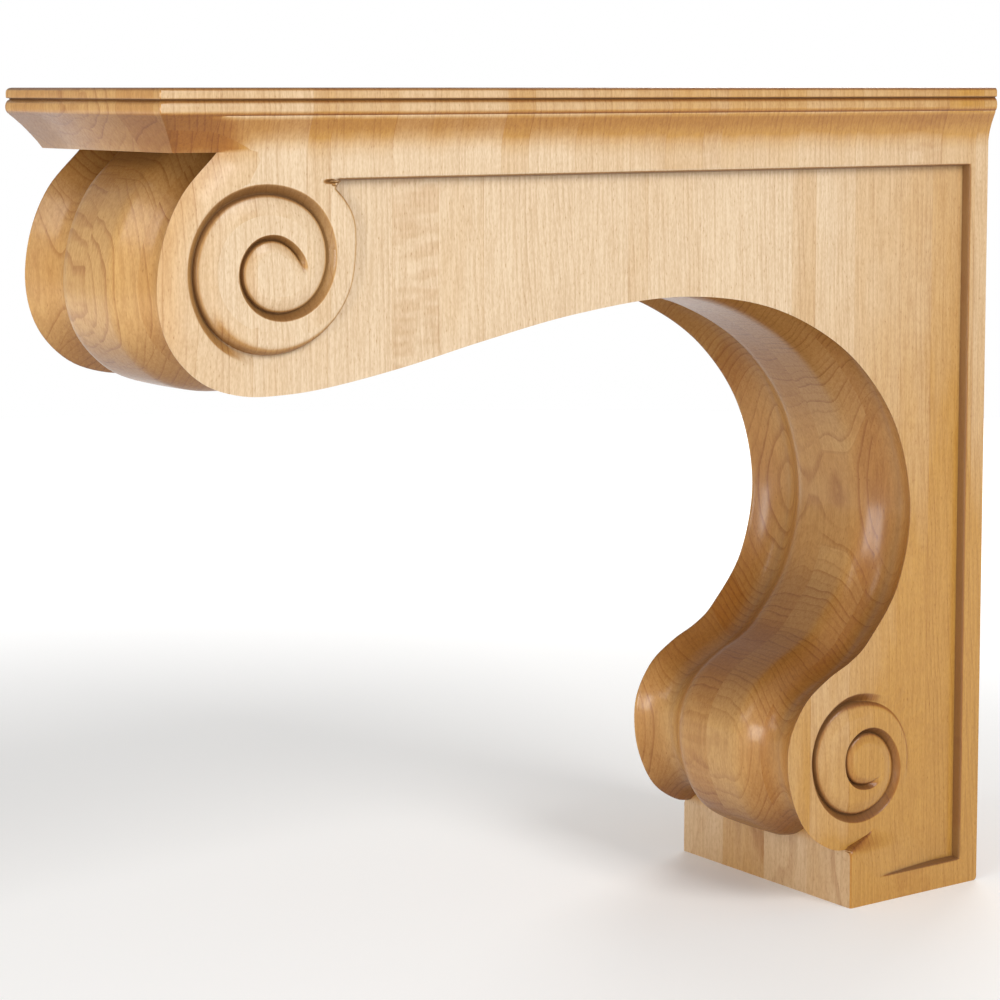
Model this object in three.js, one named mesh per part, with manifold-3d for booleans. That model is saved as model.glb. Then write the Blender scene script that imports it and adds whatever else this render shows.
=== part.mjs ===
// Range hood corbel, carved from one glued-up maple blank.
// Millimetres, +Z up. The flat back is at Y = 0 and the front faces -Y.
// The origin is the middle of the back.

import * as THREE from 'three';
import { mergeVertices } from 'three/addons/utils/BufferGeometryUtils.js';
import Module from 'manifold-3d';

const wasm = await Module();
wasm.setup();

// Overall sizes
const PROJECTION = 571.5;
const HEIGHT = 490;
const CROWN_WIDTH = 171;
const FRAME_WIDTH = 157.2;
const PANEL_RELIEF = 5.8;

// Crown moulding, round three sides: fillet, quirk, bead and cove
const CROWN_HEIGHT = 32;
const EDGE_ROUND = 2.4;
const FILLET_HEIGHT = 5.6;
const FILLET_INSET = 0.3;
const QUIRK_HEIGHT = 0.8;
const QUIRK_DEPTH = 1.8;
const BEAD_HEIGHT = 7.6;
const COVE_DEPTH = 14.4;
const COVE_STEP = 0.5;
const COVE_BOW = 0.5;
const NOTCH_SETBACK = 37.7;

// Raised frame round the side panel
const FRIEZE_HEIGHT = 15;
const STILE_WIDTH = 15.4;
const FOOT_RAIL_HEIGHT = 16.4;
const FOOT_DEPTH = 105.8;
const FOOT_FACE_HEIGHT = 38;
const FOOT_EASE = 43.5;
const EASE_LENGTH = 24;

// Upper scroll, at the end of the arm
const UPPER_SETBACK = 66.5;
const UPPER_DROP = 94;
const UPPER_RADIUS = 65;

// Arch under the arm
const ARCH_RADIUS = 134;
const LEG_THICKNESS = 56;
const ARCH_DROP = 252;
const ARM_DEPTH = 117.5;

// Lower scroll, above the foot
const LOWER_REACH = 100;
const LOWER_RISE = 86;
const LOWER_RADIUS = 54;

// Carved section across the face: a broad round between two coves
const VALLEY_DEPTH = 12.5;
const VALLEY_INSET = 22.5;
const ROUND_FLAT = 22;
const ROUND_CROWN = 1.2;

// Volutes cut in the side faces, each about its own eye, and the raised disc of the upper one
const UPPER_EYE_SETBACK = 69.5;
const UPPER_EYE_DROP = 88.7;
const LOWER_EYE_REACH = 94.2;
const LOWER_EYE_RISE = 84.5;
const GROOVE_DEPTH = 5.2;
const GROOVE_WIDTH = 7.5;
const GROOVE_FLOOR = 1.4;
const DISC_INSET = 1;
const DISC_SLOPE = 15;
const DISC_EDGE = 4;
const BAND_FALL_START = [197, 0.84];
const BAND_FALL_HEADING = -38;
const BAND_FALL_RUN = 62;

// How far pieces run into each other, and how far a groove's ends and cutter stand off the surface
const OVERLAP = 2;
const GROOVE_START_DEPTH = 0.3;
const GROOVE_CLEARANCE = 1;

// Fineness of the curved surfaces
const STATIONS = 92;
const COLUMNS = 24;
const GROOVE_STEPS = 60;

// Places worked out from the sizes
const top = HEIGHT / 2;
const bottom = -HEIGHT / 2;
const crownUnderside = top - CROWN_HEIGHT;
const friezeBottom = crownUnderside - FRIEZE_HEIGHT;
const railTop = bottom + FOOT_RAIL_HEIGHT;
const crownHalf = CROWN_WIDTH / 2;
const frameHalf = FRAME_WIDTH / 2;
const bodyHalf = frameHalf - PANEL_RELIEF;

const point = (x, y) => new THREE.Vector2(x, y);
const upper = point(UPPER_SETBACK - PROJECTION, top - UPPER_DROP);
const arch = point(-(LEG_THICKNESS + ARCH_RADIUS), top - ARCH_DROP);
const lower = point(-LOWER_REACH, bottom + LOWER_RISE);
const upperEye = point(UPPER_EYE_SETBACK - PROJECTION, top - UPPER_EYE_DROP);
const lowerEye = point(-LOWER_EYE_REACH, bottom + LOWER_EYE_RISE);
const notch = point(NOTCH_SETBACK - PROJECTION, crownUnderside);

// Rims: direction in degrees from +Y, and distance from the centre as a share of the radius
const UPPER_RIM = [
  [140, 0.98], [165, 0.955], [190, 0.983], [212, 1.014], [234, 1.005],
  [256, 0.968], [280, 0.969], [304, 1.103],
];
const ARCH_RIM = [
  [88, 0.967], [66, 0.934], [44, 0.948], [22, 0.981], [0, 1.003], [-20, 0.996], [-37, 0.956],
];
const LOWER_RIM = [
  [92, 1.18], [110, 1.09], [132, 1.061], [156, 1.018], [180, 0.952], [204, 0.928], [228, 0.954],
  [252, 0.974], [268, 0.965],
];

// Upper edge of the foot's side, round the coil of the lower scroll, in the same terms
const FOOT_COIL = [[276, 0.88], [286, 0.86], [298, 0.86], [318, 0.86]];

// Underside of the arm: share of the way from the scroll to the arch, and rise above a straight
// line as a share of the arm's depth
const ARM_BOW = [[0.2, 0.003], [0.43, 0.026], [0.7, 0.038]];

// Volutes: direction in degrees from +Y, and distance from the eye as a share of the radius
const UPPER_VOLUTE = [
  [48, 0.811], [12, 0.77], [-20, 0.73], [-90, 0.708], [-150, 0.731], [-200, 0.677], [-250, 0.569],
  [-310, 0.523], [-370, 0.462], [-440, 0.385], [-520, 0.305], [-600, 0.2], [-670, 0.182], [-737, 0.254],
];
const LOWER_VOLUTE = [
  [-8, 0.763], [60, 0.738], [110, 0.713], [160, 0.656], [215, 0.574], [270, 0.562], [320, 0.586],
  [365, 0.52], [410, 0.419], [460, 0.289], [510, 0.19], [560, 0.16], [620, 0.202], [690, 0.344],
];

// Shapes are drawn flat, then turned: a side view (Y, Z) runs along X, a front view (X, Z)
// runs along -Y, and a plan (X, Y) runs along Z
const sideways = new THREE.Matrix4().makeBasis(
  new THREE.Vector3(0, 1, 0),
  new THREE.Vector3(0, 0, 1),
  new THREE.Vector3(1, 0, 0),
);
const forwards = new THREE.Matrix4().makeBasis(
  new THREE.Vector3(1, 0, 0),
  new THREE.Vector3(0, 0, 1),
  new THREE.Vector3(0, -1, 0),
);
const upwards = new THREE.Matrix4();

function extrusion(points, depth, turn, options = {}) {
  const geometry = new THREE.ExtrudeGeometry(new THREE.Shape(points), {
    depth,
    bevelEnabled: false,
    ...options,
  });
  return geometry.applyMatrix4(turn);
}

// A closed mesh as a solid, on its own side or mirrored to the other side of the corbel
function solid(geometry, side = 1) {
  const plain = geometry.clone();
  plain.deleteAttribute('normal');
  plain.deleteAttribute('uv');
  plain.scale(side, 1, 1);
  const merged = mergeVertices(plain, 1e-4);
  const triangles = new Uint32Array(merged.index.array);
  if (side < 0) {
    for (let i = 0; i < triangles.length; i += 3) {
      [triangles[i], triangles[i + 1]] = [triangles[i + 1], triangles[i]];
    }
  }
  return new wasm.Manifold(new wasm.Mesh({
    numProp: 3,
    vertProperties: new Float32Array(merged.attributes.position.array),
    triVerts: triangles,
  }));
}

function around(centre, radius, rows) {
  return rows.map(([degrees, share]) => {
    const angle = THREE.MathUtils.degToRad(degrees);
    const reach = radius * share;
    return point(centre.x + reach * Math.cos(angle), centre.y + reach * Math.sin(angle));
  });
}

// Underside of the corbel seen from the side, from the notch under the crown to the foot
function undersideCurve() {
  const armTop = point(arch.x - 0.4 * ARCH_RADIUS, top - ARM_DEPTH);
  const scroll = around(upper, UPPER_RADIUS, UPPER_RIM);
  const arm = ARM_BOW.map(([share, rise]) => {
    const knot = scroll.at(-1).clone().lerp(armTop, share);
    knot.y += rise * ARM_DEPTH;
    return knot;
  });
  return new THREE.SplineCurve([
    notch,
    ...scroll,
    ...arm,
    armTop,
    ...around(arch, ARCH_RADIUS, ARCH_RIM),
    ...around(lower, LOWER_RADIUS, LOWER_RIM),
  ]);
}

const rim = undersideCurve().getSpacedPoints(STATIONS);

// How far the carved face stands out of the rim or in from it, at a place across the width
function faceDepth(x) {
  const valley = bodyHalf - VALLEY_INSET;
  const a = Math.abs(x);
  if (a >= valley) {
    const t = Math.min((a - valley) / VALLEY_INSET, 1);
    return -VALLEY_DEPTH * Math.cos(0.5 * Math.PI * t);
  }
  const crown = ROUND_CROWN * Math.cos((0.5 * Math.PI * a) / valley);
  const t = Math.max(0, (a - ROUND_FLAT) / (valley - ROUND_FLAT));
  return crown - 0.5 * VALLEY_DEPTH * (1 - Math.cos(Math.PI * t));
}

// The arm, arch, leg and both scrolls: the side outline run across the width,
// with each rim point moved along its normal by the carved section
function carvedBody() {
  const outline = [
    point(0, crownUnderside + OVERLAP),
    point(notch.x, crownUnderside + OVERLAP),
    ...rim,
    point(0, rim.at(-1).y),
  ];
  const normals = rim.map((place, index) => {
    const before = rim[Math.max(index - 1, 0)];
    const after = rim[Math.min(index + 1, rim.length - 1)];
    const along = after.clone().sub(before).normalize();
    return point(along.y, -along.x);
  });
  const key = (y, z) => `${y.toFixed(2)} ${z.toFixed(2)}`;
  const places = new Map(rim.map((place, index) => [key(place.x, place.y), index]));
  const geometry = extrusion(outline, 2 * bodyHalf, sideways, { steps: COLUMNS });
  geometry.translate(-bodyHalf, 0, 0);
  const position = geometry.attributes.position;
  for (let i = 0; i < position.count; i += 1) {
    const y = position.getY(i);
    const z = position.getZ(i);
    const index = places.get(key(y, z));
    if (index !== undefined) {
      const depth = faceDepth(position.getX(i));
      position.setY(i, y + normals[index].x * depth);
      position.setZ(i, z + normals[index].y * depth);
    }
  }
  return solid(geometry);
}

// Crown profile as [inset from the bead, drop below the top], down to the foot of its cove
function crownProfile(coveDepth, coveFoot) {
  const beadTop = FILLET_HEIGHT + QUIRK_HEIGHT;
  const beadRise = BEAD_HEIGHT / 2;
  const rows = [
    [FILLET_INSET + EDGE_ROUND, 0],
    [FILLET_INSET + EDGE_ROUND * 0.3, EDGE_ROUND * 0.3],
    [FILLET_INSET, EDGE_ROUND],
    [FILLET_INSET, FILLET_HEIGHT],
    [QUIRK_DEPTH, FILLET_HEIGHT],
    [QUIRK_DEPTH, beadTop],
  ];
  for (const degrees of [-50, -25, 0, 25, 50, 75]) {
    const angle = THREE.MathUtils.degToRad(degrees);
    rows.push([QUIRK_DEPTH * (1 - Math.cos(angle)), beadTop + beadRise * (1 + Math.sin(angle))]);
  }
  return [...rows, ...coveProfile(coveDepth, coveFoot)];
}

function coveProfile(coveDepth, coveFoot) {
  const coveTop = FILLET_HEIGHT + QUIRK_HEIGHT + BEAD_HEIGHT + COVE_STEP;
  const steps = 6;
  return Array.from({ length: steps + 1 }, (unused, step) => {
    const t = step / steps;
    const bow = COVE_BOW * Math.sin(Math.PI * t);
    return [
      QUIRK_DEPTH + (coveDepth - QUIRK_DEPTH) * t + bow,
      coveTop + (coveFoot - coveTop) * t - bow,
    ];
  });
}

// The crown: the moulding run along both sides and the same moulding run across the front,
// mitred where they meet, with the back left square for the wall
function crown() {
  const rows = crownProfile(COVE_DEPTH, CROWN_HEIGHT);
  const alongSides = extrusion([
    ...rows.map(([inset, drop]) => point(crownHalf - inset, top - drop)),
    ...rows.toReversed().map(([inset, drop]) => point(inset - crownHalf, top - drop)),
  ], PROJECTION, forwards);
  const acrossFront = extrusion([
    point(0, top),
    ...rows.map(([inset, drop]) => point(inset - PROJECTION, top - drop)),
    point(0, crownUnderside),
  ], CROWN_WIDTH, sideways);
  acrossFront.translate(-crownHalf, 0, 0);
  return solid(alongSides).intersect(solid(acrossFront));
}

// The cove of a side is shallower than that of the front and runs down into the frieze.
// Near the front it is eased back, in plan, to the depth of the front cove.
function sideBoard(side) {
  const inner = bodyHalf - OVERLAP;
  const rows = coveProfile(crownHalf - frameHalf, CROWN_HEIGHT + COVE_STEP);
  const coveAndFrieze = extrusion([
    point(inner, top - rows[0][1]),
    ...rows.map(([inset, drop]) => point(crownHalf - inset, top - drop)),
    point(frameHalf, friezeBottom),
    point(inner, friezeBottom),
  ], PROJECTION, forwards);
  const coveLimit = extrusion([
    point(0, COVE_DEPTH - PROJECTION),
    point(crownHalf - COVE_DEPTH, COVE_DEPTH - PROJECTION),
    point(crownHalf, notch.x + EASE_LENGTH),
    point(crownHalf, 0),
    point(0, 0),
  ], CROWN_HEIGHT, upwards);
  coveLimit.translate(0, 0, crownUnderside);
  const friezeLength = -(notch.x + EASE_LENGTH);
  const friezeLimit = new THREE.BoxGeometry(frameHalf, friezeLength, FRIEZE_HEIGHT + OVERLAP);
  friezeLimit.translate(frameHalf / 2, -friezeLength / 2, (friezeBottom + crownUnderside + OVERLAP) / 2);
  const limit = solid(coveLimit, side).add(solid(friezeLimit, side));
  return solid(coveAndFrieze, side).intersect(limit);
}

// The stile along the wall and the rail along the foot
function stileAndRail() {
  const stile = new THREE.BoxGeometry(FRAME_WIDTH, STILE_WIDTH, HEIGHT - OVERLAP);
  stile.translate(0, -STILE_WIDTH / 2, -OVERLAP / 2);
  const rail = new THREE.BoxGeometry(FRAME_WIDTH, FOOT_DEPTH, FOOT_RAIL_HEIGHT);
  rail.translate(0, -FOOT_DEPTH / 2, bottom + FOOT_RAIL_HEIGHT / 2);
  return solid(stile).add(solid(rail));
}

// The block under a plane that falls from the frame's level to the panel's, over a run that
// starts at a place in the side view and heads in a direction in degrees from +Y
function fallingFace(start, heading, run) {
  const reach = PROJECTION / 2;
  const angle = THREE.MathUtils.degToRad(heading);
  const downhill = new THREE.Vector3(0, Math.cos(angle), Math.sin(angle));
  const level = new THREE.Vector3(0, Math.sin(angle), -Math.cos(angle));
  const turn = new THREE.Matrix4().makeBasis(downhill, new THREE.Vector3(1, 0, 0), level);
  const geometry = extrusion([
    point(-reach, 0),
    point(2 * run, 0),
    point(2 * run, bodyHalf - PANEL_RELIEF),
    point(-run, frameHalf + PANEL_RELIEF),
    point(-reach, frameHalf + PANEL_RELIEF),
  ], 2 * reach, turn);
  return geometry.translate(0, start.x - reach * level.y, start.y - reach * level.z);
}

// The foot above its rail: flush with the rail at the front corner, then easing on a slope to
// the panel behind, with its upper edge following the coil of the scroll
function footFace(side) {
  const coreTop = lower.y - 0.67 * LOWER_RADIUS;
  const coreBottom = railTop - OVERLAP;
  const core = new THREE.BoxGeometry(bodyHalf, FOOT_DEPTH, coreTop - coreBottom);
  core.translate(bodyHalf / 2, -FOOT_DEPTH / 2, (coreTop + coreBottom) / 2);
  const easeStart = point(FOOT_FACE_HEIGHT - FOOT_RAIL_HEIGHT - FOOT_DEPTH, railTop);
  const easeEnd = easeStart.x + FOOT_EASE * Math.SQRT2;
  const face = extrusion([
    point(easeEnd, railTop - OVERLAP),
    point(-FOOT_DEPTH, railTop - OVERLAP),
    point(-FOOT_DEPTH, bottom + FOOT_FACE_HEIGHT),
    ...around(lower, LOWER_RADIUS, FOOT_COIL),
    point(easeEnd, railTop),
  ], frameHalf + OVERLAP, sideways);
  const eased = solid(face, side).intersect(solid(fallingFace(easeStart, 45, FOOT_EASE), side));
  return solid(core, side).add(eased);
}

// The raised side of the upper scroll. Its outer band starts level with the frieze, rolls down
// to the rim and falls to the panel as it comes round underneath. Its coil stays level with the
// frieze, and has a soft edge behind that starts at the end of the frieze's lower edge.
function scrollDisc(side) {
  const reach = 2 * UPPER_RADIUS;
  const plate = (points, width) => {
    const geometry = extrusion(points, PANEL_RELIEF, sideways, {
      bevelEnabled: true,
      bevelThickness: PANEL_RELIEF,
      bevelSize: width,
      bevelOffset: -width,
      bevelSegments: 3,
    });
    return solid(geometry.translate(bodyHalf - PANEL_RELIEF, 0, 0), side);
  };
  const underneath = rim.findIndex((place) => place.x > upperEye.x && place.y < upperEye.y);
  const rimSide = rim.slice(1, underneath + 4).map((place) => {
    const inwards = upper.clone().sub(place).setLength(DISC_INSET);
    return place.clone().add(inwards);
  });
  const rolled = plate([
    ...rimSide,
    point(upper.x + reach, rimSide.at(-1).y),
    point(upper.x + reach, top),
    point(rimSide[0].x, top),
  ], DISC_SLOPE);
  const coilRows = smoothRows(UPPER_VOLUTE, GROOVE_STEPS).filter(([degrees]) => degrees > -270);
  const coilEdge = around(upperEye, UPPER_RADIUS, coilRows);
  const hook = coilEdge[0];
  const bandLimit = extrusion([
    point(hook.x, crownUnderside),
    point(upperEye.x - reach, crownUnderside),
    point(upperEye.x - reach, upperEye.y - reach),
    point(upperEye.x, upperEye.y - reach),
    point(upperEye.x, upperEye.y),
    point(hook.x, upperEye.y),
  ], frameHalf, sideways);
  const [fallStart] = around(upperEye, UPPER_RADIUS, [BAND_FALL_START]);
  const fall = fallingFace(fallStart, BAND_FALL_HEADING, BAND_FALL_RUN);
  const band = rolled.intersect(solid(bandLimit, side)).intersect(solid(fall, side));
  const coil = plate([
    point(hook.x + OVERLAP, crownUnderside),
    ...coilEdge,
    point(upperEye.x, crownUnderside),
  ], DISC_EDGE);
  return band.add(coil);
}

// Rows of direction and distance, smoothed and set at even turns
function smoothRows(rows, steps) {
  const turns = new THREE.SplineCurve(rows.map(([degrees, share]) => point(degrees, share)));
  return turns.getSpacedPoints(steps).map((row) => [row.x, row.y]);
}

// A volute's groove: a tapered channel that follows the spiral, steep against the inner coil,
// starting and ending at nothing
function groove(side, eye, radius, rows, level, startShare) {
  const places = around(eye, radius, smoothRows(rows, GROOVE_STEPS));
  const first = Math.round(startShare * GROOVE_STEPS);
  const steps = GROOVE_STEPS - first;
  const hand = Math.sign(rows[0][0] - rows.at(-1)[0]);
  const geometry = new THREE.BoxGeometry(1, 1, 1, 1, 1, steps);
  const position = geometry.attributes.position;
  for (let i = 0; i < position.count; i += 1) {
    const along = position.getZ(i) + 0.5;
    const place = places[first + Math.round(along * steps)].clone();
    const outwards = place.clone().sub(eye).normalize();
    const fade = Math.min(THREE.MathUtils.smoothstep(along, -0.02, 0.2),
      THREE.MathUtils.smoothstep(1 - along, -0.02, 0.1));
    const depth = GROOVE_START_DEPTH + (GROOVE_DEPTH - GROOVE_START_DEPTH) * fade;
    const width = GROOVE_FLOOR + (GROOVE_WIDTH - GROOVE_FLOOR) * fade;
    const atTop = position.getY(i) > 0;
    const across = position.getX(i) * (atTop ? width * (1 + GROOVE_CLEARANCE / depth) : GROOVE_FLOOR);
    const lean = atTop ? 0.2 * width : 0;
    place.addScaledVector(outwards, hand * across + lean);
    position.setXYZ(i, atTop ? level + GROOVE_CLEARANCE : level - depth, place.x, place.y);
  }
  return solid(geometry, side);
}

function corbelSolid() {
  let wood = carvedBody().add(crown()).add(stileAndRail());
  for (const side of [1, -1]) {
    wood = wood.add(sideBoard(side)).add(footFace(side)).add(scrollDisc(side));
  }
  for (const side of [1, -1]) {
    wood = wood.subtract(groove(side, upperEye, UPPER_RADIUS, UPPER_VOLUTE, frameHalf, 0.13));
    wood = wood.subtract(groove(side, lowerEye, LOWER_RADIUS, LOWER_VOLUTE, bodyHalf, 0.04));
  }
  return wood;
}

function geometryOf(wood) {
  const mesh = wood.getMesh();
  const geometry = new THREE.BufferGeometry();
  geometry.setAttribute('position', new THREE.BufferAttribute(mesh.vertProperties, 3));
  geometry.setIndex(new THREE.BufferAttribute(mesh.triVerts, 1));
  geometry.computeVertexNormals();
  return geometry;
}

const maple = new THREE.MeshStandardMaterial({ color: 0xd9b183, roughness: 0.42, metalness: 0 });
const corbel = new THREE.Mesh(geometryOf(corbelSolid()), maple);
corbel.name = 'corbel';

const model = new THREE.Group();
model.add(corbel);

export default model;
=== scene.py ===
# %% [markdown]
# # Range hood corbel
# A corbel carries the end of a hood mantel. This one is a single carved and glued-up blank of
# hard maple: a moulded crown, a long arm that ends in a scroll, a deep arch, and a smaller
# scroll over a square foot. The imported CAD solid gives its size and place. Here the same piece is
# made again as one fine mesh, so that the light runs over soft carving instead of flat facets.

import math

import bmesh
import bpy
import numpy as np
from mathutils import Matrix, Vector
from mathutils.geometry import delaunay_2d_cdt
from mathutils.kdtree import KDTree


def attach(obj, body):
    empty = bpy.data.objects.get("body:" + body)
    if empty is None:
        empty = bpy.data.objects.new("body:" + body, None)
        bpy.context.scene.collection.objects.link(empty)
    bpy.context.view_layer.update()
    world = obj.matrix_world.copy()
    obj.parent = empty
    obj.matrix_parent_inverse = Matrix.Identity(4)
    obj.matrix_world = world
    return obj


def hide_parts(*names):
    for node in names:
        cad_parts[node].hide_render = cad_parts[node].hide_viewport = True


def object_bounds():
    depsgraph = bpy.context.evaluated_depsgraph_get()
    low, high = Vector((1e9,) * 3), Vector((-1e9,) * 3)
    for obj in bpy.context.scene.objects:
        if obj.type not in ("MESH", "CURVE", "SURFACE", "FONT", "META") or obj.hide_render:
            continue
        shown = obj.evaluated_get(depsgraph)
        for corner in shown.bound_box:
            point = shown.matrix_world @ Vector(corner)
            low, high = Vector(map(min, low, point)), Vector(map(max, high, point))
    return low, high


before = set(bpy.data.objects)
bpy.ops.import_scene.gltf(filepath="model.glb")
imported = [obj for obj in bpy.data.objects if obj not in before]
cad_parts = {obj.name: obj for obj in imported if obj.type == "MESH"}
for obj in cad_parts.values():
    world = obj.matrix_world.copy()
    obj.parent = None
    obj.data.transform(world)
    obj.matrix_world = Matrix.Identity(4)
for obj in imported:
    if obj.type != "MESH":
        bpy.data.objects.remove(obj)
cad_low, cad_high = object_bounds()
print("CAD box", [round(v, 4) for v in (*cad_low, *cad_high)])

# %% [markdown]
# ## The sizes
# Everything is drawn in millimetres in the CAD's own frame, with the back at Y = 0, the front
# towards -Y and the middle of the back as the origin, and is scaled to metres at the very end.

# %% Sizes in millimetres
MM = 0.001
PROJECTION = 571.5
HEIGHT = 490.0
CROWN_HALF = 85.5
FRAME_HALF = 78.6
BODY_HALF = 72.8
TOP = HEIGHT / 2
BOTTOM = -HEIGHT / 2
CROWN_FOOT = TOP - 32.0
FRIEZE_FOOT = CROWN_FOOT - 15.0
RAIL_TOP = BOTTOM + 16.4
STILE_EDGE = -15.4
FOOT_FRONT = -105.8
RELIEF = FRAME_HALF - BODY_HALF
NOTCH_Y = 37.7 - PROJECTION

UPPER = np.array([66.5 - PROJECTION, TOP - 94.0])
UPPER_RADIUS = 65.0
ARCH = np.array([-190.0, TOP - 252.0])
ARCH_RADIUS = 134.0
LOWER = np.array([-100.0, BOTTOM + 86.0])
LOWER_RADIUS = 54.0
print("panel is sunk", round(RELIEF, 1), "mm below the frame")

# %% [markdown]
# ## The underside, drawn as one line
# Seen from the side, the underside is one flowing line: round the upper scroll, along the arm,
# through the arch and round the lower scroll. A carver pricks it from a paper pattern. Here it is
# a smooth curve through a few knots, each given as a direction and a share of the radius of the
# round that it belongs to, and it is then divided into even steps. The arm's bow is given as
# shares of the way along the arm and of the arm's depth.

# %% Knots of the underside, as degrees from +Y and share of the radius
UPPER_RIM = [
    (140, 0.98), (165, 0.955), (190, 0.983), (212, 1.014), (234, 1.005),
    (256, 0.968), (280, 0.969), (304, 1.103),
]
ARCH_RIM = [(88, 0.967), (66, 0.934), (44, 0.948), (22, 0.981), (0, 1.003), (-20, 0.996), (-37, 0.956)]
LOWER_RIM = [
    (92, 1.18), (110, 1.09), (132, 1.061), (156, 1.018), (180, 0.952), (204, 0.928), (228, 0.954),
    (252, 0.974), (268, 0.965),
]
ARM_BOW = [(0.2, 0.003), (0.43, 0.026), (0.7, 0.038)]
ARM_DEPTH = 117.5
ARM_END = 0.4
INSIDE_CROWN = (17.0, 18.0)
LINE_STEPS = 1600


def around(centre, radius, rows):
    """Places on a round, from directions in degrees and shares of its radius."""
    rows = np.asarray(rows, float)
    angle = np.radians(rows[:, 0])
    reach = radius * rows[:, 1]
    return np.column_stack([centre[0] + reach * np.cos(angle), centre[1] + reach * np.sin(angle)])


def smooth_line(knots, per_knot=24):
    """A Catmull-Rom curve through the knots, finely divided."""
    knots = np.asarray(knots, float)
    padded = np.vstack([knots[:1], knots, knots[-1:]])
    t = np.linspace(0, 1, per_knot, endpoint=False)[:, None]
    parts = []
    for a, b, c, d in zip(padded, padded[1:], padded[2:], padded[3:]):
        turn = 2 * a - 5 * b + 4 * c - d
        bend = 3 * b - a - 3 * c + d
        parts.append(0.5 * (2 * b + (c - a) * t + turn * t**2 + bend * t**3))
    return np.vstack([*parts, knots[-1:]])


def spaced(line, count):
    """The same line with count even steps."""
    run = np.concatenate([[0], np.cumsum(np.linalg.norm(np.diff(line, axis=0), axis=1))])
    at = np.linspace(0, run[-1], count + 1)
    return np.column_stack([np.interp(at, run, line[:, k]) for k in range(line.shape[1])])


# %% The underside line and its normals
scroll_knots = around(UPPER, UPPER_RADIUS, UPPER_RIM)
arm_top = np.array([ARCH[0] - ARM_END * ARCH_RADIUS, TOP - ARM_DEPTH])
arm_knots = [
    scroll_knots[-1] + share * (arm_top - scroll_knots[-1]) + (0, rise * ARM_DEPTH)
    for share, rise in ARM_BOW
]
notch = np.array([NOTCH_Y, CROWN_FOOT])
start_inside = notch + INSIDE_CROWN
underside = spaced(smooth_line([
    start_inside,
    notch,
    *scroll_knots,
    *arm_knots,
    arm_top,
    *around(ARCH, ARCH_RADIUS, ARCH_RIM),
    *around(LOWER, LOWER_RADIUS, LOWER_RIM),
]), LINE_STEPS)
along = np.gradient(underside, axis=0)
along /= np.linalg.norm(along, axis=1)[:, None]
outwards = np.column_stack([along[:, 1], -along[:, 0]])
underside_length = np.linalg.norm(np.diff(underside, axis=0), axis=1).sum()
print("underside is", round(float(underside_length)), "mm long")

# %% [markdown]
# ## The carved face
# Across its width the face is a broad round between two coves, with a crisp arris at each side.
# It could be swept as a profile, but a sweep crosses itself in the tight scrolls. So a plain grid
# is made with an operator and its vertices are moved: one way of the grid runs along the
# underside line, the other across the width, and the section says how far each one is sunk.

# %% Section across the face
VALLEY_X = 50.3
VALLEY_DEPTH = 12.5
ROUND_FLAT = 22.0
ROUND_CROWN = 1.2
ARRIS_WIDTH = 1.4
ARRIS_DROP = 0.6
FACE_STEPS = 230
FACE_COLUMNS = [
    0, 6, 12, 17, 21, 24, 27, 30, 33, 36, 38.5, 41, 43, 45, 46.5, 48, 49.2, 50.3, 51.4, 52.6, 54, 55.6,
    57.5, 59.5, 61.5, 63.5, 65.5, 67.5, 69.2, 70.5, 71.4, 72.0, 72.4, 72.65, BODY_HALF,
]


def face_sink(x):
    """How far the face stands out of the arris line, or in from it, at a place across it."""
    if x >= VALLEY_X:
        t = (x - VALLEY_X) / (BODY_HALF - VALLEY_X)
        rounding = max(0.0, 1 - (BODY_HALF - x) / ARRIS_WIDTH)
        return -VALLEY_DEPTH * math.cos(0.5 * math.pi * t) - ARRIS_DROP * rounding**2
    crown = ROUND_CROWN * math.cos(0.5 * math.pi * x / VALLEY_X)
    t = max(0.0, (x - ROUND_FLAT) / (VALLEY_X - ROUND_FLAT))
    return crown - 0.5 * VALLEY_DEPTH * (1 - math.cos(math.pi * t))


# %% Lines down the face, and a grid whose vertices are put on them
def face_column(x):
    """One line down the face, from the crown's underside to the front of the foot."""
    line = underside + outwards * face_sink(x)
    below = np.argmax(line[:, 1] < CROWN_FOOT)
    share = (line[below - 1, 1] - CROWN_FOOT) / (line[below - 1, 1] - line[below, 1])
    first = line[below - 1] + share * (line[below] - line[below - 1])
    low = (line[:, 1] < LOWER[1]) & (line[:, 0] > FOOT_FRONT)
    end = np.argmax(low)
    share = (FOOT_FRONT - line[end - 1, 0]) / (line[end, 0] - line[end - 1, 0])
    last = line[end - 1] + share * (line[end] - line[end - 1])
    return spaced(np.vstack([first, line[below:end], last]), FACE_STEPS)


def grid_sheet(bm, rows, columns, place):
    """A grid made with an operator, each vertex then put where place(row, column) says."""
    made = bmesh.ops.create_grid(bm, x_segments=columns - 1, y_segments=rows - 1, size=1)
    for vert in made["verts"]:
        column = round((vert.co.x + 1) / 2 * (columns - 1))
        row = round((vert.co.y + 1) / 2 * (rows - 1))
        vert.co = place(row, column)


face_lines = [face_column(x) for x in FACE_COLUMNS]
arris = face_lines[-1]
print("carved face", len(FACE_COLUMNS), "columns of", FACE_STEPS + 1, "places")

# %% [markdown]
# ## The relief on the side
# The side is nearly flat, so it is a height map: for each place on it one number says how far the
# surface stands from the middle of the corbel. The frame, the slope of the foot, the raised upper
# scroll and the volutes' grooves are each a short formula, and they are put together in one
# function. That keeps every soft blend soft, which joining separate solids would not.

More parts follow.
